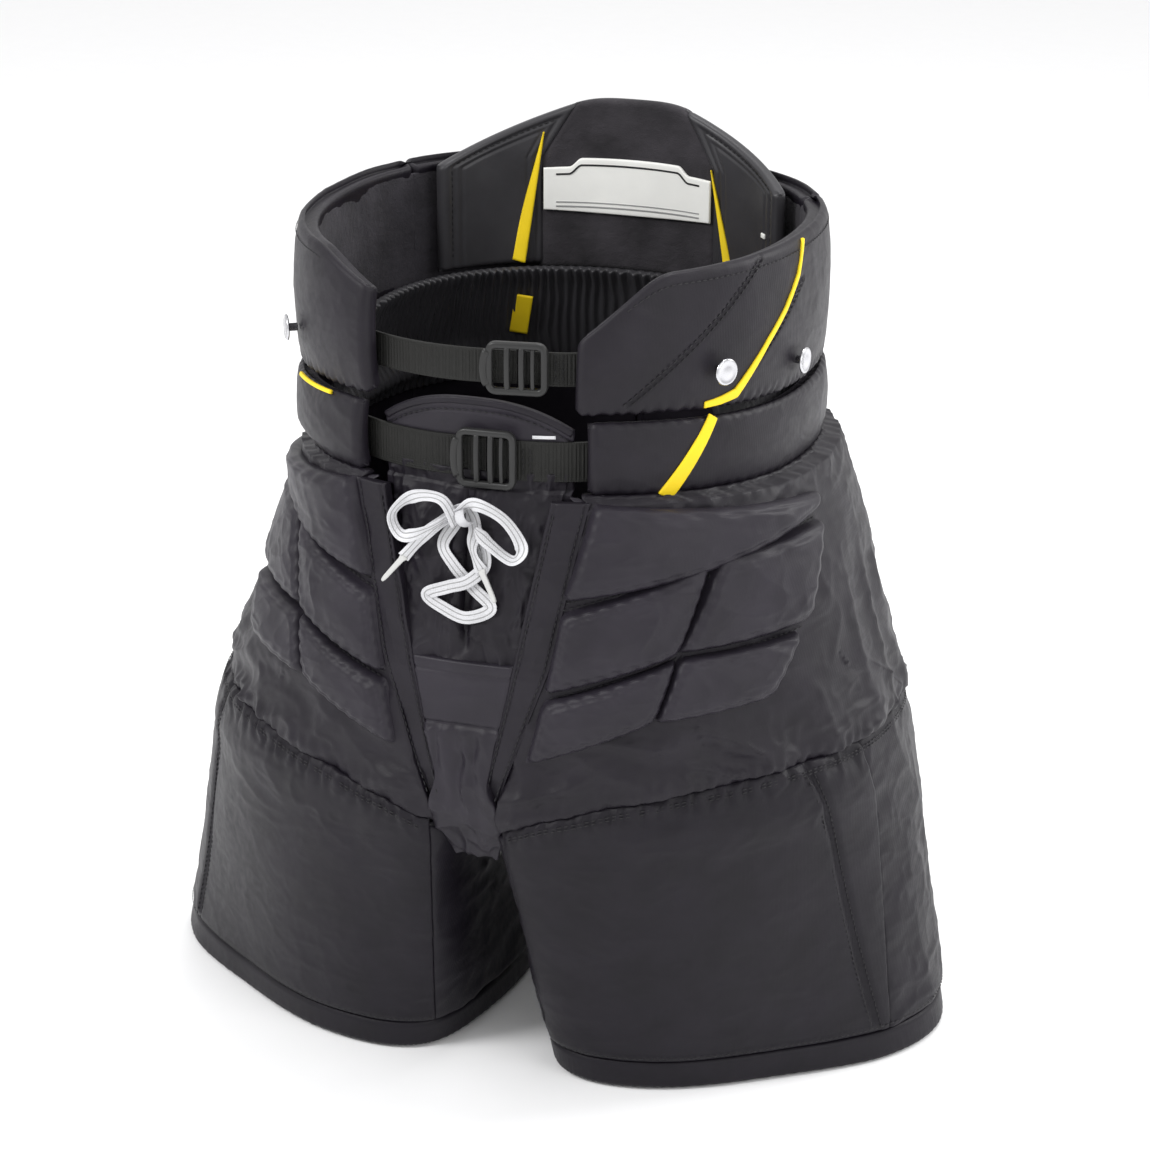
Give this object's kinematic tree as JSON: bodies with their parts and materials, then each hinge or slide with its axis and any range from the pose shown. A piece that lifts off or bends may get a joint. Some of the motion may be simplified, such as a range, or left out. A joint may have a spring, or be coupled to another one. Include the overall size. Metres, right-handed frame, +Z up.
{
  "type": "ice hockey goalkeeper pants",
  "caption": "Padded ice hockey goalkeeper pants standing on their hems, with rib pads, belt, open collar, spine pad, front straps with buckles and a laced fly",
  "frame": {"origin": "on the floor under the middle of the pants, midway between the foremost and rearmost points", "axes": "+Z up, the fly faces -Y, +X is the wearer's left"},
  "size_m": [0.632, 0.429, 0.6893],
  "materials": {
    "shell_nylon": "woven nylon",
    "pad_nylon": "woven nylon over foam",
    "fleece": "brushed",
    "smooth_lining": "smooth coated",
    "webbing": "ribbed",
    "buckle_plastic": "matte",
    "guard_plastic": "matte",
    "lace": "flat woven",
    "badge": "satin",
    "stud_metal": "polished"
  },
  "bodies": {
    "pelvis": {"hip_shell_left": "shell_nylon", "hip_shell_right": "shell_nylon", "seat_shell": "shell_nylon", "fly_band_left": "shell_nylon", "fly_band_right": "shell_nylon", "fly_gusset": "shell_nylon", "crotch_panel": "shell_nylon", "crotch_saddle": "shell_nylon", "tongue": "shell_nylon", "belt_left": "shell_nylon", "belt_right": "shell_nylon", "belt_back": "shell_nylon", "collar_left": "shell_nylon", "collar_right": "shell_nylon", "collar_back": "shell_nylon", "inner_belt_left": "smooth_lining", "inner_belt_right": "smooth_lining", "strap_upper_left": "webbing", "strap_upper_right": "webbing", "strap_lower_left": "webbing", "strap_lower_right": "webbing", "lace_crossing": "lace", "lace_tails": "lace", "lace_bow": "lace", "aglet_left": "guard_plastic", "aglet_right": "guard_plastic", "rib_top_left": "pad_nylon", "rib_top_right": "pad_nylon", "rib_mid_inner_left": "pad_nylon", "rib_mid_inner_right": "pad_nylon", "rib_mid_outer_left": "pad_nylon", "rib_mid_outer_right": "pad_nylon", "rib_low_inner_left": "pad_nylon", "rib_low_inner_right": "pad_nylon", "rib_low_outer_left": "pad_nylon", "rib_low_outer_right": "pad_nylon"},
    "spine": {"spine_plate": "guard_plastic", "spine_pad": "fleece", "spine_badge": "badge", "spine_wing_left": "smooth_lining", "spine_wing_right": "smooth_lining"},
    "left_leg": {"leg_front_left": "shell_nylon", "leg_side_left": "shell_nylon", "leg_rear_left": "shell_nylon", "leg_inner_left": "shell_nylon", "leg_hem_left": "shell_nylon", "thigh_guard_left": "guard_plastic"},
    "right_leg": {"leg_front_right": "shell_nylon", "leg_side_right": "shell_nylon", "leg_rear_right": "shell_nylon", "leg_inner_right": "shell_nylon", "leg_hem_right": "shell_nylon", "thigh_guard_right": "guard_plastic"},
    "buckle_upper": {"buckle_upper": "buckle_plastic"},
    "buckle_lower": {"buckle_lower": "buckle_plastic"},
    "stud_front_left": {"stud_front_left": "stud_metal"},
    "stud_front_right": {"stud_front_right": "stud_metal"},
    "stud_side_left": {"stud_side_left": "stud_metal"},
    "stud_side_right": {"stud_side_right": "stud_metal"}
  },
  "joints": [
    {"name": "hip_left", "type": "hinge", "parent": "pelvis", "child": "left_leg", "pos_m": [0.14, -0.00146, 0.236], "axis": [-1, 0, 0], "range_deg": [-9, 12]},
    {"name": "hip_right", "type": "hinge", "parent": "pelvis", "child": "right_leg", "pos_m": [-0.14, -0.00146, 0.236], "axis": [-1, 0, 0], "range_deg": [-9, 12]},
    {"name": "spine_tilt", "type": "hinge", "parent": "pelvis", "child": "spine", "pos_m": [0, 0.187, 0.549], "axis": [1, 0, 0], "range_deg": [0, 12]},
    {"name": "buckle_upper_tilt", "type": "hinge", "parent": "pelvis", "child": "buckle_upper", "pos_m": [0.05369, -0.17633, 0.574], "axis": [0, 0, 1], "range_deg": [0, 30]},
    {"name": "buckle_lower_tilt", "type": "hinge", "parent": "pelvis", "child": "buckle_lower", "pos_m": [0.03161, -0.18279, 0.506], "axis": [0, 0, 1], "range_deg": [0, 30]},
    {"name": "stud_front_left_spin", "type": "hinge", "parent": "pelvis", "child": "stud_front_left", "pos_m": [0.1678, -0.11731, 0.568], "axis": [0.8435, -0.5371, 0], "continuous": true},
    {"name": "stud_front_right_spin", "type": "hinge", "parent": "pelvis", "child": "stud_front_right", "pos_m": [-0.1678, -0.11731, 0.568], "axis": [-0.8435, -0.5371, 0], "continuous": true},
    {"name": "stud_side_left_spin", "type": "hinge", "parent": "pelvis", "child": "stud_side_left", "pos_m": [0.1997, -0.0203, 0.552], "axis": [0.9922, -0.1247, 0], "continuous": true},
    {"name": "stud_side_right_spin", "type": "hinge", "parent": "pelvis", "child": "stud_side_right", "pos_m": [-0.1997, -0.0203, 0.552], "axis": [-0.9922, -0.1247, 0], "continuous": true}
  ]
}
